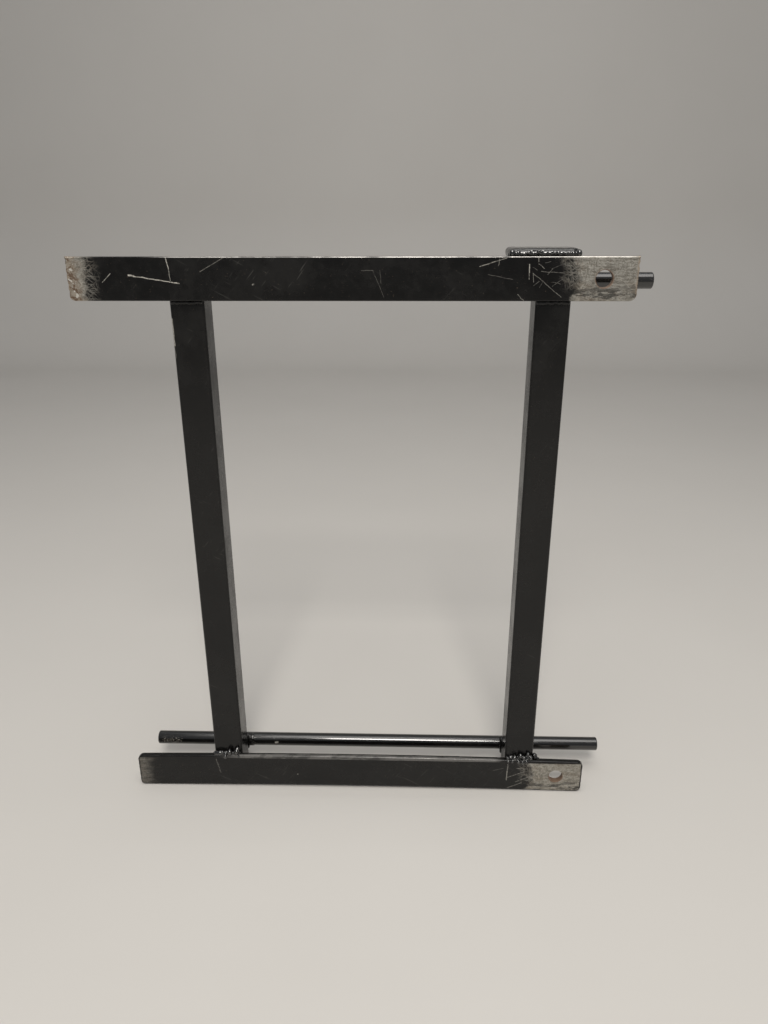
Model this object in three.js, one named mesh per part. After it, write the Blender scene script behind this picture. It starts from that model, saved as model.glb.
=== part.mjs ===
// Welded side frame of a folding trestle: two flat bars across the front, two square
// tubes behind them, two round rods behind the tubes, and a small cap plate on one tube.
// Millimetres, +Z up. The flat bars face -Y. The origin is under the middle of the
// frame's bounding box, on the face that it stands on.
import * as THREE from 'three';

// Driving dimensions
const BAR_LENGTH = 400;
const TOP_BAR_HEIGHT = 30;
const BOTTOM_BAR_HEIGHT = 32;
const BAR_THICKNESS = 5;
const FRAME_HEIGHT = 460; // over the outer edges of both flat bars
const TUBE_SIZE = 25;
const TUBE_WALL = 2;
const TUBE_CORNER = 2;
const TUBE_DROP = 2; // of the tubes' upper ends below the top bar's upper edge
const LEFT_TUBE_INSET = 69.5; // from the bars' left ends to the tube's outer side
const RIGHT_TUBE_INSET = 44; // from the bars' right ends to the tube's outer side
const ROD_DIAMETER = 12;
const ROD_LENGTH = 411;
const ROD_INSET = 9; // from the bars' left ends to the rods' left ends
const TOP_ROD_DROP = 4; // of the top rod's axis below the top bar's middle
const BOTTOM_ROD_RISE = 9; // of the bottom rod's axis above the bottom bar's middle
const HOLE_DIAMETER = 12;
const HOLE_INSET = 23.5; // from the bars' right ends
const BOTTOM_HOLE_RISE = 0.5; // of the hole above the bottom bar's middle
const CAP_WIDTH = 49.5;
const CAP_DEPTH = 27;
const CAP_THICKNESS = 7;
const CAP_OVERHANG = 20.5; // past the right tube's inner side
const CAP_CORNER = 5;

// Weld runs
const FRONT_WELD_LEG = 6; // stands 1 mm proud of the bars' front faces
const SIDE_WELD_LEG = 5;
const SIDE_WELD_RUN = 20; // up to the bar's edge, on its back
const OUTER_WELD_RISE = 5; // of the bottom outer runs, past the bar's edge
const ROD_WELD_REACH = 7.5; // from the rod's axis along the tube
const CAP_WELD_LEG = 3.5; // on the bar and on the plate
const CAP_FRONT_WELD_RUN = 47;
const CAP_SIDE_WELD_RUN = 20;
const RIPPLE_PITCH = 4; // distance between the ripples of a weld run
const FIT_GAP = 0.3; // between a rod and the weld metal around it

// Places worked out from the driving dimensions
const PROUD = FRONT_WELD_LEG - BAR_THICKNESS;
const DEPTH = PROUD + BAR_THICKNESS + TUBE_SIZE + ROD_DIAMETER;
const WIDTH = ROD_INSET + ROD_LENGTH;
const BAR_LEFT = -WIDTH / 2;
const BAR_RIGHT = BAR_LEFT + BAR_LENGTH;
const BAR_FRONT = -DEPTH / 2 + PROUD;
const BAR_BACK = BAR_FRONT + BAR_THICKNESS;
const TUBE_BACK = BAR_BACK + TUBE_SIZE;
const TUBE_TOP = FRAME_HEIGHT - TUBE_DROP;
const ROD_AXIS = TUBE_BACK + ROD_DIAMETER / 2;
const TUBES = {
  left: BAR_LEFT + LEFT_TUBE_INSET,
  right: BAR_RIGHT - RIGHT_TUBE_INSET - TUBE_SIZE,
};
const BARS = {
  bottom: {
    height: BOTTOM_BAR_HEIGHT,
    base: 0,
    inner: BOTTOM_BAR_HEIGHT,
    inward: 1,
    hole: BOTTOM_BAR_HEIGHT / 2 + BOTTOM_HOLE_RISE,
    outerRise: OUTER_WELD_RISE,
    rod: BOTTOM_BAR_HEIGHT / 2 + BOTTOM_ROD_RISE,
  },
  top: {
    height: TOP_BAR_HEIGHT,
    base: FRAME_HEIGHT - TOP_BAR_HEIGHT,
    inner: FRAME_HEIGHT - TOP_BAR_HEIGHT,
    inward: -1,
    hole: TOP_BAR_HEIGHT / 2,
    outerRise: 0,
    rod: FRAME_HEIGHT - TOP_BAR_HEIGHT / 2 - TOP_ROD_DROP,
  },
};

const X = new THREE.Vector3(1, 0, 0);
const Y = new THREE.Vector3(0, 1, 0);
const Z = new THREE.Vector3(0, 0, 1);

const frame = new THREE.Group();

function addPiece(name, geometry, material) {
  const mesh = new THREE.Mesh(geometry, material);
  mesh.name = name;
  frame.add(mesh);
  return mesh;
}

function paint(color, roughness) {
  return new THREE.MeshStandardMaterial({ color, roughness, metalness: 0.1 });
}

// Rectangle from the origin with its own radius at each corner, given anticlockwise
// from the lower left one.
function roundedRectangle(width, height, radii) {
  const [a, b, c, d] = radii;
  const shape = new THREE.Shape();
  shape.moveTo(a, 0);
  shape.lineTo(width - b, 0);
  shape.absarc(width - b, b, b, -Math.PI / 2, 0, false);
  shape.lineTo(width, height - c);
  shape.absarc(width - c, height - c, c, 0, Math.PI / 2, false);
  shape.lineTo(d, height);
  shape.absarc(d, height - d, d, Math.PI / 2, Math.PI, false);
  shape.lineTo(0, a);
  shape.absarc(a, a, a, Math.PI, Math.PI * 1.5, false);
  return shape;
}

// A flat bar standing on edge along X, with one bolt hole near its right end.
function flatBar(bar, radii) {
  const shape = roundedRectangle(BAR_LENGTH, bar.height, radii);
  const hole = new THREE.Path();
  hole.absarc(BAR_LENGTH - HOLE_INSET, bar.hole, HOLE_DIAMETER / 2, 0, Math.PI * 2, true);
  shape.holes.push(hole);
  const options = { depth: BAR_THICKNESS, bevelEnabled: false, curveSegments: 16 };
  const geometry = new THREE.ExtrudeGeometry(shape, options);
  geometry.rotateX(Math.PI / 2);
  geometry.translate(BAR_LEFT, BAR_BACK, bar.base);
  return geometry;
}

// An open square tube standing on its end.
function squareTube() {
  const inner = TUBE_SIZE - 2 * TUBE_WALL;
  const shape = roundedRectangle(TUBE_SIZE, TUBE_SIZE, Array(4).fill(TUBE_CORNER));
  const bore = roundedRectangle(inner, inner, Array(4).fill(TUBE_CORNER / 2));
  const points = bore.getPoints(4).map((p) => p.addScalar(TUBE_WALL));
  shape.holes.push(new THREE.Path(points));
  const options = { depth: TUBE_TOP, bevelEnabled: false, curveSegments: 4 };
  return new THREE.ExtrudeGeometry(shape, options);
}

function roundRod() {
  const geometry = new THREE.CylinderGeometry(
    ROD_DIAMETER / 2, ROD_DIAMETER / 2, ROD_LENGTH, 32);
  geometry.rotateZ(Math.PI / 2);
  return geometry;
}

// A weld run: a profile extruded along `run` from `corner`, rippled along its length and
// thinner at both ends. The profile's two axes lie along `across` and `up`.
function weldRun(profile, corner, across, up, run, length) {
  const shape = new THREE.Shape(profile);
  const steps = 2 * Math.round(length / RIPPLE_PITCH);
  const geometry = new THREE.ExtrudeGeometry(
    shape, { depth: length, steps, bevelEnabled: false });
  const position = geometry.getAttribute('position');
  for (let i = 0; i < position.count; i += 1) {
    const step = Math.round((position.getZ(i) / length) * steps);
    const atEnd = step === 0 || step === steps;
    const crest = step % 2 === 1 ? 1 : 0.9;
    const swell = atEnd ? 0.7 : crest;
    position.setX(i, position.getX(i) * swell);
    position.setY(i, position.getY(i) * swell);
  }
  const placed = new THREE.Matrix4().makeBasis(across, up, run).setPosition(corner);
  geometry.applyMatrix4(placed);
  return geometry;
}

// Quarter-round fillet profile with its square corner at the origin.
function filletProfile(across, up) {
  const points = [new THREE.Vector2(0, 0)];
  const segments = 3;
  for (let i = 0; i <= segments; i += 1) {
    const angle = (i / segments) * (Math.PI / 2);
    points.push(new THREE.Vector2(across * Math.cos(angle), up * Math.sin(angle)));
  }
  return points;
}

// A fillet run along `run`, whose two faces lie against the planes that `sideA` and
// `sideB` point along. The sides are put in the order that makes them right-handed.
function filletWeld(corner, sideA, legA, sideB, legB, run, length) {
  const rightHanded = sideA.clone().cross(sideB).dot(run) > 0;
  const [across, up] = rightHanded ? [sideA, sideB] : [sideB, sideA];
  const [acrossLeg, upLeg] = rightHanded ? [legA, legB] : [legB, legA];
  return weldRun(filletProfile(acrossLeg, upLeg), corner, across, up, run, length);
}

// The weld metal in the nook between a tube's back face and a rod, on one side of the
// rod. `side` is 1 above the rod's axis and -1 below it.
function rodWeld(tubeLeft, axisHeight, side) {
  const radius = ROD_DIAMETER / 2;
  const clear = radius + FIT_GAP;
  const corner = new THREE.Vector3(tubeLeft, TUBE_BACK, axisHeight + side * clear / 2);
  const from = Math.PI / 4;
  const to = Math.PI * 0.42;
  const profile = [];
  const segments = 3;
  for (let i = 0; i <= segments; i += 1) {
    const angle = from + (i / segments) * (to - from);
    profile.push(new THREE.Vector2(
      radius - clear * Math.cos(angle), clear * Math.sin(angle) - clear / 2));
  }
  profile.push(new THREE.Vector2(radius * 0.45, ROD_WELD_REACH - clear / 2 - 0.6));
  profile.push(new THREE.Vector2(0, ROD_WELD_REACH - clear / 2));
  profile.push(new THREE.Vector2(0, 0.6));
  // Mirroring the profile's height for the lower run keeps the basis right-handed.
  const up = Z.clone().multiplyScalar(side);
  const run = Y.clone().cross(up);
  const start = corner.clone();
  if (run.x < 0) start.x += TUBE_SIZE;
  return weldRun(profile, start, Y, up, run, TUBE_SIZE);
}

function bars() {
  const dark = paint('#17171a', 0.35);
  addPiece('bottom_flat_bar', flatBar(BARS.bottom, [4, 4, 5, 5]), dark.clone());
  addPiece('top_flat_bar', flatBar(BARS.top, [4, 5, 0.5, 0.5]), dark.clone());
}

function tubes() {
  for (const [name, left] of Object.entries(TUBES)) {
    const tube = squareTube().translate(left, BAR_BACK, 0);
    addPiece(`${name}_square_tube`, tube, paint('#141416', 0.3));
  }
}

function rods() {
  const middle = BAR_LEFT + ROD_INSET + ROD_LENGTH / 2;
  for (const [name, bar] of Object.entries(BARS)) {
    const rod = roundRod().translate(middle, ROD_AXIS, bar.rod);
    addPiece(`${name}_round_rod`, rod, paint('#1b1c1f', 0.25));
  }
}

function capPlate() {
  const shape = roundedRectangle(CAP_WIDTH, CAP_DEPTH, Array(4).fill(CAP_CORNER));
  const options = { depth: CAP_THICKNESS, bevelEnabled: false, curveSegments: 6 };
  const geometry = new THREE.ExtrudeGeometry(shape, options);
  const left = TUBES.right - CAP_OVERHANG;
  addPiece('top_cap_plate', geometry.translate(left, BAR_BACK, TUBE_TOP),
    paint('#131315', 0.2));
}

function frontWelds() {
  for (const [level, bar] of Object.entries(BARS)) {
    for (const [side, left] of Object.entries(TUBES)) {
      const corner = new THREE.Vector3(left, BAR_BACK, bar.inner);
      const front = Y.clone().negate();
      const inward = Z.clone().multiplyScalar(bar.inward);
      const weld = filletWeld(
        corner, front, FRONT_WELD_LEG, inward, FRONT_WELD_LEG, X, TUBE_SIZE);
      addPiece(`${level}_${side}_front_weld`, weld, paint('#1d1d20', 0.2));
    }
  }
}

function sideWelds() {
  for (const [level, bar] of Object.entries(BARS)) {
    for (const [side, left] of Object.entries(TUBES)) {
      for (const [edge, direction] of Object.entries({ outer: -1, inner: 1 })) {
        // The outer side of the left tube faces -X, and of the right tube +X.
        const away = side === 'left' ? direction : -direction;
        const face = away < 0 ? left : left + TUBE_SIZE;
        const rise = edge === 'outer' ? bar.outerRise : 0;
        const start = Math.min(
          bar.inner - bar.inward * SIDE_WELD_RUN, bar.inner + bar.inward * rise);
        const corner = new THREE.Vector3(face, BAR_BACK, start);
        const outward = X.clone().multiplyScalar(away);
        const weld = filletWeld(
          corner, outward, SIDE_WELD_LEG, Y, SIDE_WELD_LEG, Z, SIDE_WELD_RUN + rise);
        addPiece(`${level}_${side}_${edge}_weld`, weld, paint('#1d1d20', 0.25));
      }
    }
  }
}

function rodWelds() {
  for (const [level, bar] of Object.entries(BARS)) {
    for (const [side, left] of Object.entries(TUBES)) {
      const upper = rodWeld(left, bar.rod, 1);
      const lower = rodWeld(left, bar.rod, -1);
      addPiece(`${level}_${side}_rod_upper_weld`, upper, paint('#1d1d20', 0.25));
      addPiece(`${level}_${side}_rod_lower_weld`, lower, paint('#1d1d20', 0.25));
    }
  }
}

function capWelds() {
  const capMiddle = TUBES.right - CAP_OVERHANG + CAP_WIDTH / 2;
  const front = new THREE.Vector3(
    capMiddle - CAP_FRONT_WELD_RUN / 2, BAR_BACK, FRAME_HEIGHT);
  const frontWeld = filletWeld(
    front, Y.clone().negate(), CAP_WELD_LEG, Z, CAP_WELD_LEG, X, CAP_FRONT_WELD_RUN);
  addPiece('cap_front_weld', frontWeld, paint('#202023', 0.2));

  const down = Z.clone().negate();
  const start = BAR_BACK + (TUBE_SIZE - CAP_SIDE_WELD_RUN) / 2;
  const innerCorner = new THREE.Vector3(TUBES.right, start, TUBE_TOP);
  const innerWeld = filletWeld(
    innerCorner, X.clone().negate(), CAP_WELD_LEG, down, CAP_WELD_LEG, Y, CAP_SIDE_WELD_RUN);
  addPiece('cap_inner_weld', innerWeld, paint('#202023', 0.2));

  const outerCorner = new THREE.Vector3(TUBES.right + TUBE_SIZE, start, TUBE_TOP);
  const outerWeld = filletWeld(
    outerCorner, X, CAP_WELD_LEG, down, CAP_WELD_LEG, Y, CAP_SIDE_WELD_RUN);
  addPiece('cap_outer_weld', outerWeld, paint('#202023', 0.2));
}

bars();
tubes();
rods();
capPlate();
frontWelds();
sideWelds();
rodWelds();
capWelds();

export default frame;
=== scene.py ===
"""Looks of a welded trestle side frame: gloss black enamel over hot-rolled steel, worn at the
bolted ends, with lumpy hand-laid welds. Metres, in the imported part's own frame."""

import math
import random

import bmesh
import bpy
from mathutils import Matrix, Vector, noise


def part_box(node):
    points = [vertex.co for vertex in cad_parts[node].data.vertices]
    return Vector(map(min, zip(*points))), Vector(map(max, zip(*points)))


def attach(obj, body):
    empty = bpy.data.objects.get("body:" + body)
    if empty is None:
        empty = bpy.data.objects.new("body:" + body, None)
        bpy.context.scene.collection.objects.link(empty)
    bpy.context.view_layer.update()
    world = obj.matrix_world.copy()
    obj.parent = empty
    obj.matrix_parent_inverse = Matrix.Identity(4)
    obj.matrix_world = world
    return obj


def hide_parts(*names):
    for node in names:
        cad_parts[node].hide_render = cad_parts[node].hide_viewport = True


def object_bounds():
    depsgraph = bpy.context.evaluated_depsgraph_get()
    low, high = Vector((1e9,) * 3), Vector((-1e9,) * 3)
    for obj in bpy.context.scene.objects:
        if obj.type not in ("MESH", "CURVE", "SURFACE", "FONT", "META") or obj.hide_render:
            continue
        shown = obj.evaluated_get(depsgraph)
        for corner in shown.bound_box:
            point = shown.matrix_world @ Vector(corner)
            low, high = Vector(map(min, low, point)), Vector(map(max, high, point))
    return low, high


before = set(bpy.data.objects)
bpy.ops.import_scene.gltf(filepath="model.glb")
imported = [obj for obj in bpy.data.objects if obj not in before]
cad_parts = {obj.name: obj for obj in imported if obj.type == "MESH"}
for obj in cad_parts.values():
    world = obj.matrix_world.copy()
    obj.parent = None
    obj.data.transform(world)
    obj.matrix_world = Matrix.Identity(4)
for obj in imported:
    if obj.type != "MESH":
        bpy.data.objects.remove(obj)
cad_low, cad_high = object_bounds()

MM = 0.001

# The steel, in metres
BAR_THICKNESS = 5 * MM
HOLE_RADIUS = 6 * MM
HOLE_INSET = 23.5 * MM
HOLE_RISE = {"bottom": 0.5 * MM, "top": 0}  # of the hole above the bar's middle
HOLE_ARRIS = 0.45 * MM
TUBE_WALL = 2 * MM
TUBE_CORNER = 2.4 * MM
ROD_CHAMFER = 0.9 * MM
WELD_VOXEL = 0.5 * MM
FINE_VOXEL = 0.4 * MM  # for the welds that are seen best
PLATE_VOXEL = 0.45 * MM
BOW = {"bottom": 2.4 * MM, "top": 0}  # rise of a bar's middle, drawn up by its welds
BOW_CUTS = 24  # lengths that a bowed bar is cut into
END_CUTS = 16  # cuts across a bar's uneven end
PLATE_CORNER = 5 * MM
PLATE_ARRIS = 2.8 * MM

# The worn enamel
FRAY = 18 * MM  # how far its edge wavers
EDGE_BLUR = 2.2 * MM
FRAY_REACH = 15 * MM  # of the strokes into the enamel at a bolted end
LEFT_FRAY_REACH = 11 * MM  # and at the top bar's left end

X, Y, Z = Vector((1, 0, 0)), Vector((0, 1, 0)), Vector((0, 0, 1))

bar_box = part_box("bottom_flat_bar")
top_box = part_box("top_flat_bar")
BAR_FRONT, BAR_BACK = bar_box[0].y, bar_box[1].y
BOTTOM_EDGE = bar_box[1].z  # the bottom bar's upper edge
TOP_EDGE = top_box[0].z  # the top bar's lower edge
TUBES = {side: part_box(f"{side}_square_tube") for side in ("left", "right")}
RODS = {level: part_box(f"{level}_round_rod") for level in ("bottom", "top")}
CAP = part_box("top_cap_plate")


# ---------------------------------------------------------------- materials


class Shader:
    """One material, and short calls that add nodes to it and link them."""

    def __init__(self, name):
        self.material = bpy.data.materials.new(name)
        self.material.use_nodes = True
        self.tree = self.material.node_tree
        self.surface = self.tree.nodes["Principled BSDF"]
        self.place = self.add("ShaderNodeTexCoord").outputs["Object"]

    def add(self, kind, values=(), **settings):
        node = self.tree.nodes.new(kind)
        for key, value in settings.items():
            setattr(node, key, value)
        for socket, value in dict(values).items():
            if isinstance(value, bpy.types.NodeSocket):
                self.tree.links.new(value, node.inputs[socket])
            else:
                node.inputs[socket].default_value = value
        return node

    def math(self, operation, *values, clamp=False):
        node = self.add("ShaderNodeMath", enumerate(values), operation=operation, use_clamp=clamp)
        return node.outputs[0]

    def vector(self, operation, *values):
        node = self.add("ShaderNodeVectorMath", enumerate(values), operation=operation)
        return node.outputs["Value" if operation in ("LENGTH", "DOT_PRODUCT") else "Vector"]

    def axis(self, name):
        return self.add("ShaderNodeSeparateXYZ", {0: self.place}).outputs[name]

    def noise(self, scale, detail=2.0, long=1.0, turn=0.0, shift=0.0, rough=0.5):
        """Noise of that many features a metre, drawn out that many times along an axis in XZ
        that is turned down from X by that angle."""
        mapped = self.add("ShaderNodeMapping", {
            "Vector": self.place, "Location": (shift, shift, shift),
            "Rotation": (0, turn, 0), "Scale": (long, 1, 1)}, vector_type="TEXTURE")
        node = self.add("ShaderNodeTexNoise", {
            "Vector": mapped.outputs[0], "Scale": scale, "Detail": detail, "Roughness": rough})
        return node.outputs["Fac"]

    def step(self, value, low, high):
        """0 below low, 1 above high, and smooth between them."""
        node = self.add("ShaderNodeMapRange", {
            "Value": value, "From Min": low, "From Max": high, "To Min": 0.0, "To Max": 1.0},
            interpolation_type="SMOOTHSTEP")
        return node.outputs[0]

    def scale(self, value, low, high):
        """The 0 to 1 value spread between low and high."""
        return self.math("MULTIPLY_ADD", value, high - low, low)

    def mix(self, factor, first, second):
        node = self.add("ShaderNodeMix", {0: factor, 6: first, 7: second}, data_type="RGBA")
        return node.outputs[2]

    def blend(self, factor, first, second):
        node = self.add("ShaderNodeMix", {0: factor, 2: first, 3: second})
        return node.outputs[0]

    def finish(self, color, roughness, metallic, height, depth, coat=0.0):
        self.surface.inputs["Coat Weight"].default_value = coat
        self.surface.inputs["Coat Roughness"].default_value = 0.06
        self.surface.inputs["Specular IOR Level"].default_value = 0.35 + 0.65 * coat
        for socket, value in (("Base Color", color), ("Roughness", roughness),
                              ("Metallic", metallic)):
            if isinstance(value, bpy.types.NodeSocket):
                self.tree.links.new(value, self.surface.inputs[socket])
            else:
                self.surface.inputs[socket].default_value = value
        bump = self.add("ShaderNodeBump", {"Height": height, "Distance": depth, "Strength": 1.0})
        self.tree.links.new(bump.outputs[0], self.surface.inputs["Normal"])
        return self.material


def scratch_group():
    """A node group that gives 1 on the line from Start to End and 0 away from it."""
    group = bpy.data.node_groups.new("scratch_line", "ShaderNodeTree")
    sides = group.interface
    for name, kind in (("Place", "NodeSocketVector"), ("Start", "NodeSocketVector"),
                       ("End", "NodeSocketVector"), ("Width", "NodeSocketFloat")):
        sides.new_socket(name, in_out="INPUT", socket_type=kind)
    sides.new_socket("Line", in_out="OUTPUT", socket_type="NodeSocketFloat")
    into = group.nodes.new("NodeGroupInput").outputs
    result = group.nodes.new("NodeGroupOutput").inputs[0]

    def put(kind, operation, *values):
        node = group.nodes.new(kind)
        node.operation = operation
        for index, value in enumerate(values):
            if isinstance(value, bpy.types.NodeSocket):
                group.links.new(value, node.inputs[index])
            else:
                node.inputs[index].default_value = value
        return node

    reach = put("ShaderNodeVectorMath", "SUBTRACT", into["Place"], into["Start"]).outputs[0]
    line = put("ShaderNodeVectorMath", "SUBTRACT", into["End"], into["Start"]).outputs[0]
    over = put("ShaderNodeVectorMath", "DOT_PRODUCT", reach, line).outputs["Value"]
    whole = put("ShaderNodeVectorMath", "DOT_PRODUCT", line, line).outputs["Value"]
    share = put("ShaderNodeMath", "DIVIDE", over, whole)
    share.use_clamp = True
    along = put("ShaderNodeVectorMath", "SCALE", line)
    group.links.new(share.outputs[0], along.inputs["Scale"])
    away = put("ShaderNodeVectorMath", "SUBTRACT", reach, along.outputs[0]).outputs[0]
    distance = put("ShaderNodeVectorMath", "LENGTH", away).outputs["Value"]
    ratio = put("ShaderNodeMath", "DIVIDE", distance, into["Width"]).outputs[0]
    inside = put("ShaderNodeMath", "SUBTRACT", 1.0, ratio)
    inside.use_clamp = True
    group.links.new(inside.outputs[0], result)
    return group


def scratch_mask(shader, group, origin, scratches, reach=1.0 * MM):
    """The strongest of a list of scratches, ((x, z), (x, z), width, strength) in millimetres
    from that origin, within that depth of a face that looks along -Y."""
    wobble = shader.math("MULTIPLY_ADD", shader.noise(240, 2), 1.0 * MM, -0.5 * MM)
    sway = shader.add("ShaderNodeCombineXYZ", {"X": wobble, "Z": wobble}).outputs[0]
    flat = shader.vector("MULTIPLY", shader.place, (1, 0, 1))
    place = shader.vector("ADD", flat, sway)
    total = None
    for (x0, z0), (x1, z1), width, strength in scratches:
        node = shader.add("ShaderNodeGroup", node_tree=group)
        shader.tree.links.new(place, node.inputs["Place"])
        node.inputs["Start"].default_value = (origin.x + x0 * MM, 0, origin.z + z0 * MM)
        node.inputs["End"].default_value = (origin.x + x1 * MM, 0, origin.z + z1 * MM)
        node.inputs["Width"].default_value = width * MM
        line = shader.math("MULTIPLY", node.outputs["Line"], strength)
        total = line if total is None else shader.math("MAXIMUM", total, line)
    broken = shader.scale(shader.step(shader.noise(800, 2), 0.36, 0.54), 0.4, 1.0)
    front = shader.step(shader.axis("Y"), origin.y + reach, origin.y + reach * 0.5)
    return shader.math("MULTIPLY", shader.math("MULTIPLY", total, broken), front)


ENAMEL = (0.0035, 0.0033, 0.0031, 1)
ENAMEL_GREY = (0.010, 0.0095, 0.0088, 1)
SCUFF = (0.34, 0.33, 0.30, 1)
STEEL = (0.40, 0.385, 0.345, 1)
STEEL_DARK = (0.17, 0.155, 0.13, 1)
STEEL_BROWN = (0.22, 0.185, 0.145, 1)
HAZE = (0.10, 0.085, 0.072, 1)
# Bare steel of the worn upper arris, painted near-white as a highlight
ARRIS_WEAR_AND_HIGHLIGHT = (0.85, 0.82, 0.78, 1)
# Rust spots and pits, and also the painted shade in the bolt holes
RUST_AND_HOLE_SHADE = (0.15, 0.085, 0.05, 1)
TAN = (0.55, 0.42, 0.30, 1)
FLAKE = (0.72, 0.69, 0.62, 1)


def paint_layers(shader, gloss=0.20, dull=0.36, dust=0.20):
    """Base colour, roughness and height of gloss black enamel with faint smears and dust."""
    smear = shader.noise(26, 4, rough=0.6)
    fine = shader.noise(190, 3, rough=0.6)
    cloud = shader.step(shader.math("ADD", shader.math("MULTIPLY", smear, 0.75),
                                    shader.math("MULTIPLY", fine, 0.25)), 0.38, 0.66)
    color = shader.mix(shader.math("MULTIPLY", cloud, 0.6), ENAMEL, ENAMEL_GREY)
    rub = shader.step(shader.noise(900, 2, long=18, turn=0.5), 0.67, 0.74)
    rub_two = shader.step(shader.noise(900, 2, long=16, turn=-0.9, shift=0.3), 0.67, 0.74)
    hair = shader.math("MULTIPLY", shader.math("MAXIMUM", rub, rub_two),
                       shader.step(smear, 0.48, 0.62))
    color = shader.mix(shader.math("MULTIPLY", hair, 0.10), color, SCUFF)
    speck = shader.step(shader.noise(1300, 1, shift=0.7), 0.76, 0.80)
    color = shader.mix(shader.math("MULTIPLY", speck, dust), color, TAN)
    roughness = shader.scale(cloud, gloss, dull)
    roughness = shader.blend(shader.math("MULTIPLY", hair, 0.4), roughness, 0.6)
    peel = shader.noise(330, 2, rough=0.45)
    height = shader.math("ADD", shader.math("MULTIPLY", peel, 0.35),
                         shader.math("MULTIPLY", shader.noise(60, 2), 0.65))
    return color, roughness, height


def brush_marks(shader, turns, low, high, long=9, scale=850):
    """Short straight marks along several directions, the strongest of them at each point."""
    total = None
    for index, turn in enumerate(turns):
        marks = shader.noise(scale, 1, long=long, turn=turn, shift=0.21 * index, rough=0.4)
        marks = shader.step(marks, low, high)
        total = marks if total is None else shader.math("MAXIMUM", total, marks)
    return total


def steel_layers(shader):
    """Colour, roughness and height of bare steel, ground mostly along X, with cross marks."""
    lines = shader.noise(1500, 3, long=9, turn=0.04, rough=0.6)
    broad = shader.noise(170, 4, long=2, shift=0.2, rough=0.6)
    color = shader.mix(shader.scale(shader.step(lines, 0.34, 0.64), 0.18, 1.0), STEEL_DARK,
                       STEEL)
    color = shader.mix(shader.math("MULTIPLY", shader.step(broad, 0.46, 0.66), 0.6), color,
                       STEEL_BROWN)
    crossed = brush_marks(shader, (0.75, -0.45, 1.25, -1.0), 0.58, 0.66, long=12, scale=1500)
    color = shader.mix(shader.math("MULTIPLY", crossed, 0.30), color, FLAKE)
    dents = brush_marks(shader, (0.2, -0.3, 1.5), 0.60, 0.68, long=6, scale=1300)
    color = shader.mix(shader.math("MULTIPLY", dents, 0.55), color, STEEL_DARK)
    roughness = shader.scale(lines, 0.38, 0.60)
    return color, roughness, lines


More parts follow.
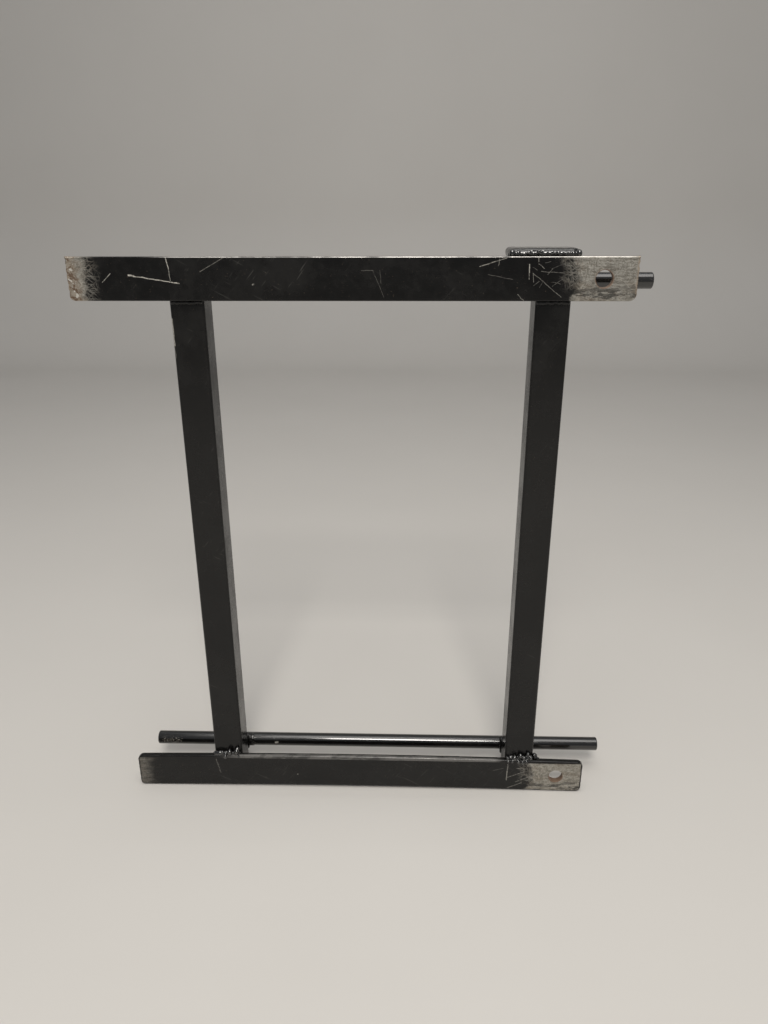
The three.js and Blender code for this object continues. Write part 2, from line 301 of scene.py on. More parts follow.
def bar_material(name, level, scratches, group, bare_edge, bulge, left_bare, left_worn,
                 worn_highlight_span, highlight_strength, rim=0.0, fleck=0.0):
    """Enamel that is worn to bare steel past bare_edge, and by left_worn over about left_bare
    of the left end, with scratches on the front face. bulge is how much sooner the bare steel
    starts at the top and bottom, worn_highlight_span the stretch of upper arris from the left end
    that is worn bare and painted lighter as a highlight, highlight_strength how strong that
    painted highlight is, rim the width of black enamel kept round a worn face as a painted dark
    reflection of its rounded edges, and fleck the bright flecks at the left end."""
    low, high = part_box(f"{level}_flat_bar")
    shader = Shader(name)
    color, roughness, height = paint_layers(shader)
    x, y, z = (shader.axis(a) for a in "XYZ")
    steel, steel_rough, lines = steel_layers(shader)
    above = shader.math("SUBTRACT", z, low.z)
    edge_gap = shader.math("MINIMUM", above, shader.math("SUBTRACT", high.z, z))
    end_gap = shader.math("MINIMUM", shader.math("SUBTRACT", high.x, x),
                          shader.math("SUBTRACT", x, low.x))

    # The worn edge bulges at mid height, and is frayed by short strokes of bare metal.
    tall = high.z - low.z
    middle = shader.math("DIVIDE", shader.math("SUBTRACT", above, tall * 0.54), tall)
    sooner = shader.math("MULTIPLY", shader.math("MULTIPLY", middle, middle), bulge)
    fray = shader.math("MULTIPLY_ADD", shader.noise(160, 4, long=1.6, rough=0.7),
                       FRAY, -FRAY / 2)
    edge = shader.math("ADD", shader.math("ADD", x, sooner), fray)
    bare = shader.step(edge, bare_edge - EDGE_BLUR, bare_edge + EDGE_BLUR)
    strokes = brush_marks(shader, (0.1, 0.7, -0.6, 1.4), 0.58, 0.64, long=16, scale=1300)
    near = shader.math("MULTIPLY", shader.step(edge, bare_edge - FRAY_REACH, bare_edge - 1 * MM),
                       shader.step(above, 4 * MM, 14 * MM))
    from_left = shader.math("ADD", shader.math("SUBTRACT", x, low.x), fray)
    soft = 7 * MM if rim else 1.6 * MM
    bare_left = shader.step(from_left, left_bare + soft, left_bare - soft)
    bare_left = shader.math("MULTIPLY", bare_left, left_worn)
    near_left = shader.step(from_left, left_bare + LEFT_FRAY_REACH, left_bare + 1 * MM)
    near_left = shader.math("MULTIPLY", near_left, 0.0 if rim else 1.0)
    frayed = shader.math("MULTIPLY", strokes, shader.math("MAXIMUM", near, near_left))
    plain_bare = shader.math("MAXIMUM", bare, bare_left)
    bare = shader.math("MAXIMUM", plain_bare, shader.math("MULTIPLY", frayed, 0.45))

    # Enamel left in dark smears along the lower part of the worn end
    streaks = shader.noise(330, 4, long=5, shift=0.5, rough=0.7)
    lower = shader.math("MULTIPLY", shader.step(above, 15 * MM, 5 * MM),
                        shader.step(above, 0.6 * MM, 2.2 * MM))
    lower = shader.math("MULTIPLY", lower, shader.step(x, 0.0, 10 * MM))
    left_over = shader.math("MULTIPLY", shader.step(streaks, 0.47, 0.57), lower)
    bare = shader.math("MULTIPLY", bare,
                       shader.math("MULTIPLY_ADD", left_over, -0.8, 1.0))
    # Black enamel is kept within rim of the face's edges as a painted dark reflection of its
    # rounded edges; inside it, a grey haze of scuffs at the left end.
    if rim:
        gap = shader.math("MINIMUM", edge_gap, end_gap)
        gap = shader.math("ADD", gap, shader.math("MULTIPLY_ADD", fray, 0.12, 0.0))
        bare = shader.math("MULTIPLY", bare, shader.step(gap, rim * 0.6, rim * 1.3))
        scuffs = shader.step(shader.noise(420, 3, long=9, shift=0.8), 0.42, 0.62)
        haze = shader.math("MULTIPLY", shader.step(from_left, 21 * MM, 3 * MM), scuffs)
        haze = shader.math("MULTIPLY", haze, shader.step(gap, rim * 0.5, rim * 1.2))
        color = shader.mix(shader.math("MULTIPLY", haze, 0.6), color, HAZE)
        roughness = shader.blend(shader.math("MULTIPLY", haze, 0.7), roughness, 0.45)

    # Tan rust at the cut ends, bright flecks at the left one
    rusty = shader.noise(420, 4, rough=0.7, shift=0.9)
    near_end = shader.step(shader.math("MULTIPLY_ADD", rusty, 3.0 * MM, end_gap),
                           3.6 * MM, 1.6 * MM)
    if not rim:
        steel = shader.mix(shader.math("MULTIPLY", near_end, 0.75), steel, TAN)
    steel = shader.mix(shader.math("MULTIPLY", shader.step(rusty, 0.60, 0.70), 0.45), steel,
                       RUST_AND_HOLE_SHADE)
    if fleck:
        at_left = shader.step(from_left, 0.85 * left_bare, 0.4 * left_bare)
        flakes = shader.step(shader.noise(400, 3, long=1.5, turn=0.6, shift=1.7), 0.57, 0.63)
        pale = shader.math("MULTIPLY", shader.math("MULTIPLY", flakes, at_left), fleck)
        steel = shader.mix(shader.math("MULTIPLY", at_left, 0.30), steel, TAN)
        pits = shader.step(shader.noise(360, 4, shift=2.3, rough=0.65), 0.51, 0.59)
        pits = shader.math("MULTIPLY", shader.math("MULTIPLY", pits, at_left), 0.8)
        steel = shader.mix(pits, steel, RUST_AND_HOLE_SHADE)
        steel = shader.mix(pale, steel, FLAKE)

    color = shader.mix(bare, color, steel)
    roughness = shader.blend(bare, roughness, steel_rough)

    lines_mask = scratch_mask(shader, group, low, scratches)
    color = shader.mix(lines_mask, color, FLAKE)
    roughness = shader.blend(lines_mask, roughness, 0.5)

    # The hole's wall and rounded rim are painted dark brown and not metallic, as painted shade in
    # the hole
    axis = (high.x - HOLE_INSET, 0, (low.z + high.z) / 2 + HOLE_RISE[level])
    arm = shader.vector("SUBTRACT", shader.vector("MULTIPLY", shader.place, (1, 0, 1)), axis)
    wall = shader.step(shader.vector("LENGTH", arm), HOLE_RADIUS + 0.7 * MM,
                       HOLE_RADIUS + 0.3 * MM)
    color = shader.mix(shader.math("MULTIPLY", wall, 0.85), color, RUST_AND_HOLE_SHADE)

    # The upper front arris is worn to bare steel and painted near-white along it as a highlight
    # line
    depth = shader.math("SUBTRACT", y, low.y)
    top_gap = shader.math("SUBTRACT", high.z, z)
    patchy = shader.noise(120, 4, long=3, rough=0.7, shift=0.15)
    bright = shader.math("MULTIPLY", shader.step(shader.math("ADD", top_gap, depth),
                                                 0.85 * MM, 0.5 * MM),
                         shader.scale(shader.step(patchy, 0.36, 0.52), 0.35, 1.0))
    first, last = low.x + worn_highlight_span[0], low.x + worn_highlight_span[1]
    bright = shader.math("MULTIPLY", bright, shader.step(x, first, first + 30 * MM))
    bright = shader.math("MULTIPLY", bright, shader.step(x, last, last - 10 * MM))
    bright = shader.math("MULTIPLY", bright, highlight_strength)
    color = shader.mix(bright, color, ARRIS_WEAR_AND_HIGHLIGHT)
    roughness = shader.blend(bright, roughness, 0.30)

    metallic = shader.math("MAXIMUM", shader.math("MULTIPLY", bare, 0.85), bright)
    metallic = shader.math("MULTIPLY", metallic, shader.math("SUBTRACT", 1.0, wall))
    height = shader.math("MULTIPLY", height, shader.math("SUBTRACT", 1.0, plain_bare))
    height = shader.math("ADD", height, shader.math("MULTIPLY", lines, 0.5))
    height = shader.math("SUBTRACT", height, shader.math("MULTIPLY", plain_bare, 0.7))
    return shader.finish(color, roughness, metallic, height, 0.06 * MM)


def enamel_material(name, gloss, dull, peel=0.05, origin=None, scratches=(), group=None,
                    chipped=None, coat=0.0):
    """Gloss enamel. scratches lie on the face that looks along -Y from origin, and chipped is
    a patch ((x, z), (x, z)) in metres that is speckled with chips. coat is how thick and
    glassy the enamel is."""
    shader = Shader(name)
    color, roughness, height = paint_layers(shader, gloss, dull)
    if scratches:
        worn = scratch_mask(shader, group, origin, scratches, 2.6 * MM)
        color = shader.mix(worn, color, FLAKE)
        roughness = shader.blend(worn, roughness, 0.5)
        height = shader.math("SUBTRACT", height, worn)
    if chipped:
        (x0, z0), (x1, z1) = chipped
        x, z = shader.axis("X"), shader.axis("Z")
        soft = 1.5 * MM
        inside = shader.math("MULTIPLY", shader.step(x, x0 - soft, x0 + soft),
                             shader.step(x, x1 + soft, x1 - soft))
        inside = shader.math("MULTIPLY", inside, shader.step(z, z0 - soft, z0 + soft))
        inside = shader.math("MULTIPLY", inside, shader.step(z, z1 + soft, z1 - soft))
        spots = shader.step(shader.noise(1000, 3, rough=0.6, shift=1.3), 0.56, 0.61)
        chip = shader.math("MULTIPLY", spots, inside)
        tint = shader.mix(shader.noise(300, 2), STEEL_BROWN, STEEL)
        color = shader.mix(chip, color, tint)
        roughness = shader.blend(chip, roughness, 0.6)
        height = shader.math("SUBTRACT", height, chip)
    return shader.finish(color, roughness, 0.0, height, peel * MM, coat)


# ---------------------------------------------------------------- mesh helpers


def make_piece(name, mesh_bm, node, material, body="root"):
    """Turns a bmesh into a piece that stands for a CAD node and rides on its body."""
    bmesh.ops.remove_doubles(mesh_bm, verts=mesh_bm.verts, dist=1e-6)
    bmesh.ops.recalc_face_normals(mesh_bm, faces=mesh_bm.faces)
    mesh = bpy.data.meshes.new(name)
    mesh_bm.to_mesh(mesh)
    mesh_bm.free()
    mesh.shade_smooth()
    mesh.materials.append(material)
    piece = bpy.data.objects.new(name, mesh)
    bpy.context.scene.collection.objects.link(piece)
    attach(piece, body)
    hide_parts(node)
    return piece


def flat_shading(piece):
    """Keeps large flat faces flat beside their small rounded arrises."""
    modifier = piece.modifiers.new("even_faces", "WEIGHTED_NORMAL")
    modifier.weight = 100
    modifier.keep_sharp = True


def round_arris(bm, edges, width, segments=3):
    bmesh.ops.bevel(bm, geom=edges, offset=width, offset_type="OFFSET", affect="EDGES",
                    segments=segments, profile=0.5, material=-1, clamp_overlap=False)


def rounded_face(bm, points, radii, segments=6):
    """A flat face on those corner points, each corner rounded by its own radius."""
    corners = [bm.verts.new(p) for p in points]
    bm.faces.new(corners)
    for corner, radius in zip(corners, radii):
        if radius:
            bmesh.ops.bevel(bm, geom=[corner], offset=radius, offset_type="OFFSET",
                            affect="VERTICES", segments=segments, profile=0.5, material=-1)


def sharp_edges(bm, angle=math.radians(55)):
    return [e for e in bm.edges if len(e.link_faces) == 2 and e.calc_face_angle() > angle]


def keep_inside(bm):
    """Holds every point inside the part's own box."""
    for vertex in bm.verts:
        for axis in range(3):
            vertex.co[axis] = min(max(vertex.co[axis], cad_low[axis]), cad_high[axis])


# ---------------------------------------------------------------- flat bars


def flat_bar(level, radii, raggedness, arris, material):
    """A flat bar on edge, with a bolt hole, sheared ends, rounded arrises and its bow."""
    low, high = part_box(f"{level}_flat_bar")
    bm = bmesh.new()
    points = [(low.x, low.y, low.z), (high.x, low.y, low.z),
              (high.x, low.y, high.z), (low.x, low.y, high.z)]
    rounded_face(bm, points, radii)

    # The sheared ends are uneven, so their edges are cut up and pushed inwards a little.
    for end, inward in ((low.x, 1), (high.x, -1)):
        edges = [e for e in bm.edges
                 if all(abs(v.co.x - end) < 1e-6 for v in e.verts)]
        bmesh.ops.subdivide_edges(bm, edges=edges, cuts=END_CUTS)
        for vertex in bm.verts:
            if abs(vertex.co.x - end) < 1e-6:
                chatter = noise.noise(vertex.co * 400) + 0.6 * noise.noise(vertex.co * 1300)
                vertex.co.x += inward * raggedness * max(0.0, 0.4 + chatter)

    middle = (low.z + high.z) / 2 + HOLE_RISE[level]
    place = Matrix.Translation((high.x - HOLE_INSET, low.y, middle))
    turn = Matrix.Rotation(math.pi / 2, 4, "X")
    bmesh.ops.delete(bm, geom=bm.faces[:], context="FACES_ONLY")
    rim = bmesh.ops.create_circle(bm, segments=48, radius=HOLE_RADIUS, matrix=place @ turn)
    for vertex in rim["verts"]:
        arm = vertex.co - place.translation
        vertex.co += arm * 0.03 * noise.noise(vertex.co * 500)
    bmesh.ops.triangle_fill(bm, edges=bm.edges[:], use_beauty=True, normal=-Y)
    extruded = bmesh.ops.extrude_face_region(bm, geom=bm.faces[:], use_keep_orig=True)
    moved = [v for v in extruded["geom"] if isinstance(v, bmesh.types.BMVert)]
    bmesh.ops.translate(bm, verts=moved, vec=Y * BAR_THICKNESS)
    bmesh.ops.recalc_face_normals(bm, faces=bm.faces)

    hole_axis = Vector((high.x - HOLE_INSET, 0, middle))

    def at_hole(edge):
        mid = (edge.verts[0].co + edge.verts[1].co) / 2
        return (Vector((mid.x, 0, mid.z)) - hole_axis).length < HOLE_RADIUS * 1.2

    round_arris(bm, [e for e in sharp_edges(bm) if not at_hole(e)], arris)
    rims = [e for e in sharp_edges(bm) if at_hole(e)]
    round_arris(bm, rims, HOLE_ARRIS, 2)

    # A bowed bar is cut up along its length, and its middle is raised.
    span = high.x - low.x
    cuts = BOW_CUTS if BOW[level] else 0
    for index in range(1, cuts):
        place = Vector((low.x + span * index / cuts, 0, 0))
        bmesh.ops.bisect_plane(bm, geom=bm.verts[:] + bm.edges[:] + bm.faces[:], dist=1e-7,
                               plane_co=place, plane_no=X)
    for vertex in bm.verts:
        share = 2 * (vertex.co.x - low.x) / span - 1
        vertex.co.z += BOW[level] * (1 - share * share)
    keep_inside(bm)
    piece = make_piece(f"{level}_bar", bm, f"{level}_flat_bar", material)
    flat_shading(piece)
    return piece


# ---------------------------------------------------------------- tubes and rods


def square_tube(side, material):
    """An open square tube with rounded corners and lightly dressed ends."""
    low, high = TUBES[side]
    bm = bmesh.new()
    points = [(low.x, low.y, low.z), (high.x, low.y, low.z),
              (high.x, high.y, low.z), (low.x, high.y, low.z)]
    rounded_face(bm, points, [TUBE_CORNER] * 4, segments=7)
    outline = bm.edges[:]
    bmesh.ops.delete(bm, geom=bm.faces[:], context="FACES_ONLY")
    walls = bmesh.ops.extrude_edge_only(bm, edges=outline)
    moved = [v for v in walls["geom"] if isinstance(v, bmesh.types.BMVert)]
    bmesh.ops.translate(bm, verts=moved, vec=Z * (high.z - low.z))
    bmesh.ops.recalc_face_normals(bm, faces=bm.faces)
    outward = sum(f.normal.dot(f.calc_center_median() - Vector(((low.x + high.x) / 2,
                  (low.y + high.y) / 2, f.calc_center_median().z))) for f in bm.faces)
    if outward < 0:
        bmesh.ops.reverse_faces(bm, faces=bm.faces)
    bmesh.ops.solidify(bm, geom=bm.faces[:], thickness=TUBE_WALL)
    bmesh.ops.recalc_face_normals(bm, faces=bm.faces)
    round_arris(bm, sharp_edges(bm), 0.3 * MM, 2)
    piece = make_piece(f"{side}_tube", bm, f"{side}_square_tube", material)
    flat_shading(piece)
    return piece


def round_rod(level, material):
    """A round rod with chamfered ends."""
    low, high = RODS[level]
    radius = (high.z - low.z) / 2
    middle = (low + high) / 2
    turn = Matrix.Rotation(math.pi / 2, 4, "Y")
    bm = bmesh.new()
    bmesh.ops.create_cone(bm, cap_ends=True, cap_tris=False, segments=64, radius1=radius,
                          radius2=radius, depth=high.x - low.x,
                          matrix=Matrix.Translation(middle) @ turn)
    round_arris(bm, sharp_edges(bm), ROD_CHAMFER, 3)
    piece = make_piece(f"{level}_rod", bm, f"{level}_round_rod", material)
    flat_shading(piece)
    return piece


# ---------------------------------------------------------------- welds and cap plate


def fuse(bm, name, voxel):
    """Fuses overlapping shapes into one skin of small quads, and returns it as a bmesh."""
    mesh = bpy.data.meshes.new(name + "_raw")
    bm.to_mesh(mesh)
    bm.free()
    raw = bpy.data.objects.new(name + "_raw", mesh)
    bpy.context.scene.collection.objects.link(raw)
    remesh = raw.modifiers.new("fuse", "REMESH")
    remesh.mode = "VOXEL"
    remesh.voxel_size = voxel
    smooth = raw.modifiers.new("settle", "SMOOTH")
    smooth.factor = 0.5
    smooth.iterations = 5
    depsgraph = bpy.context.evaluated_depsgraph_get()
    fused = bmesh.new()
    fused.from_object(raw, depsgraph)
    bpy.data.objects.remove(raw)
    bpy.data.meshes.remove(mesh)
    return fused


def roughen(bm, amount, size, seed):
    """Pushes each point along its normal by smooth noise with bumps of that size."""
    bm.normal_update()
    shift = Vector((seed * 0.37, seed * 0.11, seed * 0.23))
    moves = [v.normal * noise.noise(v.co / size + shift) * amount for v in bm.verts]
    for vertex, move in zip(bm.verts, moves):
        vertex.co += move


def puddle(bm, centre, size, along):
    """One puddle of weld metal: a ball squashed along the run."""
    ball = bmesh.ops.create_icosphere(bm, subdivisions=2, radius=1.0)
    squash = Matrix.Diagonal((*(Vector((1, 1, 1)) - along * 0.25), 1))
    matrix = Matrix.Translation(centre) @ Matrix.Scale(size, 4) @ squash
    bmesh.ops.transform(bm, matrix=matrix, verts=ball["verts"])


def weld_run(node, start, end, lean, size, seed, material, lumps=(), pitch=0.55,
             grain=0.30 * MM, voxel=WELD_VOXEL):
    """A hand-laid weld from start to end. lean moves its puddles off the corner, size is
    their usual radius, and lumps are extra ones: (place, radius). grain is how far its skin
    is uneven."""
    rng = random.Random(seed)
    bm = bmesh.new()
    run = end - start
    direction = run.normalized()
    along = Vector(tuple(abs(c) for c in direction))
    count = max(3, round(run.length / (size * pitch)))
    for index in range(count + 1):
        radius = size * rng.uniform(0.80, 1.12)
        offset = lean * rng.uniform(0.75, 1.2)
        jitter = Vector(rng.uniform(-1, 1) * size * 0.12 for _ in range(3))
        puddle(bm, start + run * index / count + offset + jitter, radius, along)
    for place, radius in lumps:
        puddle(bm, place, radius, along)
    bm = fuse(bm, node, voxel)
    roughen(bm, grain, 2.0 * MM, seed)
    roughen(bm, grain * 0.3, 0.8 * MM, seed + 5)
    keep_inside(bm)
    return make_piece(f"{node}_bead", bm, node, material)


# Lumps of the two big welds, in millimetres from the tube's left front corner at the
# bottom bar's upper edge: X, Y, Z and radius
BIG_LUMPS = {
    "left": [
        (1.2, -1.8, 0.2, 2.5), (3.2, -2.0, 0.6, 2.7), (5.3, -2.0, 1.0, 2.8),
        (7.4, -1.9, 1.3, 2.7), (10.4, -4.4, -1.0, 2.4), (10.6, -2.0, 1.2, 2.2),
        (14.3, -2.5, 2.6, 3.3), (17.4, -2.4, -0.6, 1.9), (20.4, -2.3, 3.0, 3.2),
        (21.2, -1.2, 5.0, 2.2), (22.4, -4.6, -0.9, 1.4)],
    "right": [
        (2.2, -2.6, 0.4, 2.3), (2.6, -4.4, -1.6, 1.7), (6.2, -4.4, -1.4, 1.9),
        (8.4, -2.4, 1.0, 3.1), (11.6, -4.2, -1.8, 2.3), (13.4, -1.8, 2.8, 2.8),
        (15.4, -4.5, -2.4, 2.1), (16.6, -2.8, 1.0, 2.5), (18.8, -4.2, -1.6, 2.0),
        (20.0, -1.2, 4.0, 2.4), (22.6, -2.4, 1.2, 2.6)],
}


def front_welds(material, dull_material):
    for side, (low, high) in TUBES.items():
        inset = 2.2 * MM
        corner = Vector((low.x, BAR_BACK, BOTTOM_EDGE + 0.6 * BOW["bottom"]))
        lumps = [(corner + Vector(lump[:3]) * MM, lump[3] * MM) for lump in BIG_LUMPS[side]]
        start, end = corner + X * inset, corner + X * (high.x - low.x - inset)
        weld_run(f"bottom_{side}_front_weld", start, end, Vector((0, -1.6, 0.6)) * MM,
                 2.1 * MM, 11 + len(side), material, lumps, grain=0.08 * MM, voxel=FINE_VOXEL)
        drop = Z * (TOP_EDGE - corner.z)
        weld_run(f"top_{side}_front_weld", start + drop, end + drop,
                 Vector((0, 0.3, -1.3)) * MM, 2.2 * MM, 21 + len(side), dull_material,
                 grain=0.15 * MM)


WEBS = {"left": 0.25, "right": 1.0}  # how large each tube's outer web is
WEB_RISE = 5 * MM


def side_welds(material):
    for node, level, side, outward in (
            (f"{level}_{side}_{edge}_weld", level, side, (side == "right") == (edge == "outer"))
            for level in ("bottom", "top") for side in TUBES for edge in ("outer", "inner")):
        low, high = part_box(node)
        tube_low, tube_high = TUBES[side]
        face, away = (tube_high.x, 1) if outward else (tube_low.x, -1)
        margin = 3 * MM
        start = Vector((face, BAR_BACK, low.z + margin))
        end = Vector((face, BAR_BACK, high.z - margin))
        lumps = []
        if level == "bottom" and "outer" in node:
            # The run climbs over the bar's edge into a web beside the tube. On the left it
            # ends lower, and its web is small.
            web = WEBS[side]
            end.z -= (1 - web) * WEB_RISE
            for out, rise, radius in ((1.0, 4.6, 1.8), (1.8, 2.4, 2.3), (4.2, -0.4, 2.2)):
                place = Vector((face + away * out * web * MM, BAR_BACK - 0.2 * MM,
                                BOTTOM_EDGE + rise * web * MM))
                lumps.append((place, radius * MM * (0.6 + 0.4 * web)))
        seed = 31 + len(node) + round(face / MM)
        weld_run(node, start, end, Vector((away * 1.5, 1.6, 0)) * MM, 2.4 * MM, seed,
                 material, lumps, grain=0.2 * MM)


def rod_welds(material):
    """Beads over and under each rod on the tubes' backs. They run a little way round the rod
    past the tube's inner side, furthest at the bottom left."""
    collar_radius = 1.9 * MM
    for level, (rod_low, rod_high) in RODS.items():
        middle = (rod_low + rod_high) / 2
        radius = (rod_high.z - rod_low.z) / 2
        for side, (low, high) in TUBES.items():
            face, away = (high.x, 1) if side == "left" else (low.x, -1)
            widest = (level, side) == ("bottom", "left")
            steps = (0.8, 2.0, 3.2, 4.4) if widest else (0.8,)
            reach = radius - 1.2 * MM
            for place, up in (("upper", 1), ("lower", -1)):
                height = middle.z + up * 5.2 * MM
                start = Vector((low.x + 0.6 * MM, high.y, height))
                end = Vector((high.x - 0.6 * MM, high.y, height))
                lumps = []
                for step in steps:
                    for angle in (0.2, 0.65, 1.1, 1.5):
                        spot = Vector((face + away * step * MM,
                                       middle.y - reach * math.cos(angle),
                                       middle.z + up * reach * math.sin(angle)))
                        lumps.append((spot, collar_radius))
                seed = 53 + len(level) + len(side) * 5 + up
                weld_run(f"{level}_{side}_rod_{place}_weld", start, end,
                         Vector((0, 0.8, up * 0.6)) * MM, 2.3 * MM, seed, material, lumps,
                         grain=0.2 * MM)


def cap_welds(material):
    low, high = CAP
    start = Vector((low.x + 2.5 * MM, low.y, top_box[1].z))
    end = Vector((high.x - 3.5 * MM, low.y, top_box[1].z))
    rng = random.Random(8)
    lumps = [(start + Vector((-0.8, -1.0, 1.8)) * MM, 2.9 * MM),
             (start + Vector((-1.6, 2.4, 0.6)) * MM, 2.4 * MM),
             (end + Vector((1.8, -1.0, 1.7)) * MM, 3.0 * MM),
             (end + Vector((2.0, 2.6, 0.6)) * MM, 2.4 * MM),
             (end + Vector((-2.4, -1.4, 1.3)) * MM, 2.2 * MM)]
    for share in (0.18, 0.42, 0.66):
        shift = Vector((rng.uniform(-1, 1), rng.uniform(-1.9, -1.1), rng.uniform(1.0, 2.8)))
        lumps.append((start.lerp(end, share) + shift * MM, rng.uniform(1.5, 2.1) * MM))
    weld_run("cap_front_weld", start, end, Vector((0, -0.8, 1.8)) * MM, 1.9 * MM, 71,
             material, lumps, pitch=0.35, grain=0.08 * MM, voxel=FINE_VOXEL)
    tube_low, tube_high = TUBES["right"]
    for edge, face, away in (("inner", tube_low.x, -1), ("outer", tube_high.x, 1)):
        start = Vector((face, tube_low.y + 3 * MM, low.z))
        end = Vector((face, tube_high.y - 3 * MM, low.z))
        weld_run(f"cap_{edge}_weld", start, end, Vector((away * 1.0, 0, -1.0)) * MM,
                 1.9 * MM, 83 + away, material)


def cap_plate(material):
    """The short plate over the right tube: thick, round-ended, with ground-over edges."""
    low, high = CAP
    bm = bmesh.new()
    points = [(low.x, low.y, low.z), (high.x, low.y, low.z),
              (high.x, high.y, low.z), (low.x, high.y, low.z)]
    rounded_face(bm, points, [PLATE_CORNER] * 4)
    extruded = bmesh.ops.extrude_face_region(bm, geom=bm.faces[:], use_keep_orig=True)
    moved = [v for v in extruded["geom"] if isinstance(v, bmesh.types.BMVert)]
    bmesh.ops.translate(bm, verts=moved, vec=Z * (high.z - low.z))
    bmesh.ops.recalc_face_normals(bm, faces=bm.faces)
    round_arris(bm, sharp_edges(bm), PLATE_ARRIS, 6)
    bm = fuse(bm, "cap", PLATE_VOXEL)
    roughen(bm, 0.35 * MM, 6 * MM, 3)
    roughen(bm, 0.10 * MM, 1.4 * MM, 9)
    keep_inside(bm)
    return make_piece("cap_plate", bm, "top_cap_plate", material)


# ---------------------------------------------------------------- the object


def seeded_scratches(seed, count, x_range, z_range, length, width, strength):
    """Fine scratches scattered over a patch, in millimetres."""
    rng = random.Random(seed)
    made = []
    for _ in range(count):
        x, z = rng.uniform(*x_range), rng.uniform(*z_range)
        angle = rng.uniform(-0.7, 0.7) + (math.pi / 2 if rng.random() < 0.35 else 0)
        reach = rng.uniform(*length)
        made.append(((x, z), (x + reach * math.cos(angle), z + reach * math.sin(angle)),
                     rng.uniform(*width), rng.uniform(*strength)))
    return made


# Scratches, in millimetres from each bar's lower left corner
TOP_SCRATCHES = [
    ((45.5, 17.4), (79.5, 12.0), 0.45, 0.85), ((44.5, 17.8), (48, 17.1), 0.9, 1.0),
    ((25, 12.7), (31.5, 18.8), 0.36, 0.55), ((71.5, 29.6), (73, 22), 0.42, 0.75),
    ((73, 22), (73.5, 14), 0.36, 0.45), ((95, 20), (111.5, 29), 0.32, 0.28),
    ((131.5, 11.3), (132.2, 11.5), 0.70, 0.4), ((208, 20.7), (216, 20.7), 0.30, 0.18),
    ((216, 20.7), (223.7, 2.6), 0.30, 0.12), ((221, 21), (221.6, 12), 0.30, 0.12),
    ((290, 23.3), (308.4, 29), 0.40, 0.45), ((302.8, 23.7), (303.5, 28.4), 0.34, 0.25),
    ((324, 24.5), (324.5, 19.5), 0.46, 0.75), ((324.3, 19.5), (324.5, 14.8), 0.34, 0.38),
    ((330, 29), (330.5, 26.5), 0.34, 0.45), ((330.6, 25.1), (334.3, 21.8), 0.34, 0.38),
    ((327, 19), (347.6, 2.8), 0.32, 0.26), ((332.5, 20), (349.2, 19), 0.30, 0.22),
    ((317.2, 4.7), (321.5, 0.5), 0.36, 0.28), ((296, 18), (313, 14.8), 0.32, 0.14),
    ((327.2, 18.5), (327.6, 12.9), 0.32, 0.3),
]
BOTTOM_SCRATCHES = [
    ((71.5, 29.5), (74.6, 15), 0.60, 0.20), ((333.3, 29), (333, 12), 0.65, 0.42),
    ((334, 14.9), (348.5, 21.4), 0.48, 0.32), ((341, 9.7), (357, 18), 0.45, 0.28),
    ((334, 3), (346.3, 8.9), 0.48, 0.32), ((341.4, 25), (348.3, 23.9), 0.48, 0.32),
    ((329.5, 24.7), (320.7, 22.1), 0.40, 0.14), ((144.3, 14.3), (145, 14.5), 0.60, 0.4),
]
# From the left tube's foot, at its front face
TUBE_SCRATCHES = [((0.7, 417), (0.9, 398), 0.85, 0.75), ((0.5, 396), (1.2, 389), 0.5, 0.3)]

scratch = scratch_group()
top_fine = seeded_scratches(5, 8, (322, 350), (6, 27), (3, 9), (0.22, 0.30), (0.12, 0.24))
top_bar_paint = bar_material(
    "top_bar_finish", "top", TOP_SCRATCHES + top_fine, scratch, bare_edge=148.5 * MM,
    bulge=12 * MM, left_bare=13.5 * MM, left_worn=1.0, worn_highlight_span=(50 * MM, 402 * MM), highlight_strength=0.50,
    fleck=1.0)
bottom_bar_paint = bar_material(
    "bottom_bar_finish", "bottom", BOTTOM_SCRATCHES, scratch, bare_edge=145.5 * MM,
    bulge=25 * MM, left_bare=9 * MM, left_worn=0.35, worn_highlight_span=(70 * MM, 330 * MM),
    highlight_strength=0.15, rim=1.7 * MM)
tube_foot = Vector((TUBES["left"][0].x, BAR_BACK, TUBES["left"][0].z))
tube_paint = enamel_material("tube_finish", 0.20, 0.36, origin=tube_foot,
                             scratches=TUBE_SCRATCHES, group=scratch)
# From the bottom rod's left end, at its front
ROD_CHIPS = [((111.5, 6.3), (113, 6.6), 1.3, 1.0), ((14, 4.5), (17, 4.9), 0.7, 0.5)]
rod_low, rod_high = RODS["bottom"]
rod_paint = enamel_material(
    "rod_finish", 0.12, 0.22, peel=0.02, origin=rod_low, scratches=ROD_CHIPS, group=scratch,
    chipped=((rod_low.x + 4.5 * MM, rod_low.z + 4.3 * MM),
             (rod_low.x + 23 * MM, rod_low.z + 9.5 * MM)), coat=0.5)
plate_paint = enamel_material("plate_finish", 0.14, 0.26, coat=0.2)
weld_paint = enamel_material("weld_finish", 0.07, 0.14, peel=0.02, coat=0.8)

flat_bar("top", [4 * MM, 5 * MM, 0.8 * MM, 0.8 * MM], 0.7 * MM, 0.8 * MM, top_bar_paint)
flat_bar("bottom", [4 * MM, 5 * MM, 5 * MM, 5 * MM], 0.25 * MM, 1.2 * MM, bottom_bar_paint)
for tube_side in TUBES:
    square_tube(tube_side, tube_paint)
for rod_level in RODS:
    round_rod(rod_level, rod_paint)
cap_plate(plate_paint)
front_welds(weld_paint, tube_paint)
side_welds(weld_paint)
rod_welds(plate_paint)
cap_welds(weld_paint)


# ---------------------------------------------------------------- studio


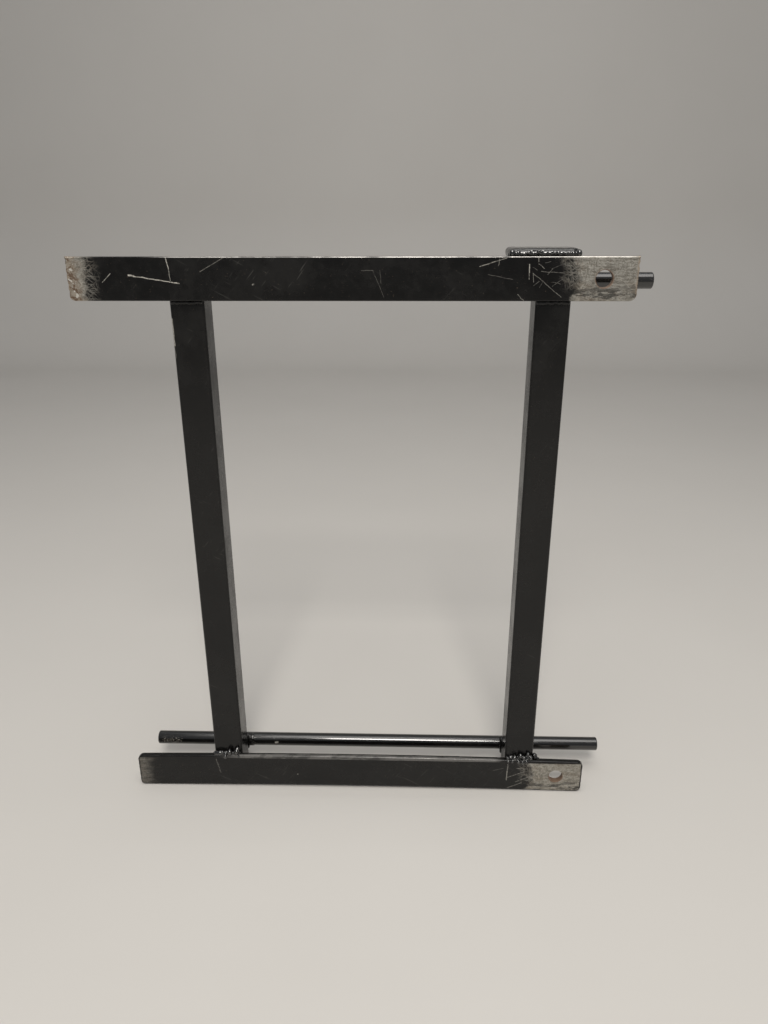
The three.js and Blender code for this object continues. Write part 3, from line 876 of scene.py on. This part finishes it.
def backdrop():
    """A pale floor that curves up into a pale wall behind the object."""
    half, back, curve, tall = 7.0, 1.9, 0.5, 3.0
    bm = bmesh.new()
    bmesh.ops.create_grid(bm, x_segments=1, y_segments=1, size=half)
    bmesh.ops.translate(bm, verts=bm.verts, vec=Y * (back - half))
    far = [e for e in bm.edges if all(v.co.y > back - 0.01 for v in e.verts)]
    bend = bmesh.ops.spin(bm, geom=far, cent=(0, back, curve), axis=(1, 0, 0),
                          angle=math.pi / 2, steps=16, use_merge=False)
    last = [e for e in bend["geom_last"] if isinstance(e, bmesh.types.BMEdge)]
    wall = bmesh.ops.extrude_edge_only(bm, edges=last)
    moved = [v for v in wall["geom"] if isinstance(v, bmesh.types.BMVert)]
    bmesh.ops.translate(bm, verts=moved, vec=Z * tall)
    mesh = bpy.data.meshes.new("studio_floor")
    bm.to_mesh(mesh)
    bm.free()
    mesh.shade_smooth()
    floor = bpy.data.objects.new("studio_floor", mesh)
    bpy.context.scene.collection.objects.link(floor)
    shader = Shader("studio_floor")
    grain = shader.noise(3, 3)
    color = shader.mix(grain, (0.58, 0.56, 0.53, 1), (0.62, 0.60, 0.57, 1))
    floor.data.materials.append(shader.finish(color, 0.55, 0.0, grain, 0.1 * MM))


def area_light(name, place, target, size, power, color=(1, 1, 1)):
    light = bpy.data.lights.new(name, "AREA")
    light.shape = "RECTANGLE"
    light.size, light.size_y = size
    light.energy = power
    light.color = color
    lamp = bpy.data.objects.new(name, light)
    lamp.location = place
    lamp.rotation_mode = "QUATERNION"
    lamp.rotation_quaternion = (Vector(target) - Vector(place)).to_track_quat("-Z", "Y")
    bpy.context.scene.collection.objects.link(lamp)


def studio():
    backdrop()
    middle = (cad_low + cad_high) / 2
    area_light("overhead", (0.1, -0.40, 2.1), (0.1, -0.35, 0), (1.5, 1.3), 19,
               (1.0, 0.97, 0.93))
    area_light("lamp", (0.05, -1.5, 2.0), middle, (0.65, 0.65), 32, (1.0, 0.96, 0.90))
    area_light("wall_wash", (0, 0.9, 2.4), (0, 2.4, 0.4), (2.4, 0.5), 4)
    world = bpy.data.worlds.new("studio_air")
    world.use_nodes = True
    air = world.node_tree.nodes["Background"].inputs
    air["Color"].default_value = (0.80, 0.82, 0.85, 1)
    air["Strength"].default_value = 0.30
    bpy.context.scene.world = world
    bpy.context.scene.view_settings.view_transform = "Standard"


def camera():
    """A little right of the middle, just above the frame's top, looking down at it."""
    from_middle, from_bars, above_top = 29.2 * MM, 557.1 * MM, 25.5 * MM
    pitch, yaw, roll = math.radians(21.55), math.radians(-1.63), math.radians(-0.15)
    data = bpy.data.cameras.new("camera")
    data.sensor_width = 36
    data.lens = 26.98
    data.clip_start, data.clip_end = 0.01, 50
    eye = bpy.data.objects.new("camera", data)
    eye.location = (from_middle, BAR_FRONT - from_bars, cad_high.z + above_top)
    turn = (Matrix.Rotation(-yaw, 4, "Z") @ Matrix.Rotation(math.pi / 2 - pitch, 4, "X")
            @ Matrix.Rotation(roll, 4, "Z"))
    eye.rotation_mode = "QUATERNION"
    eye.rotation_quaternion = turn.to_quaternion()
    bpy.context.scene.collection.objects.link(eye)
    bpy.context.scene.camera = eye


studio()
camera()
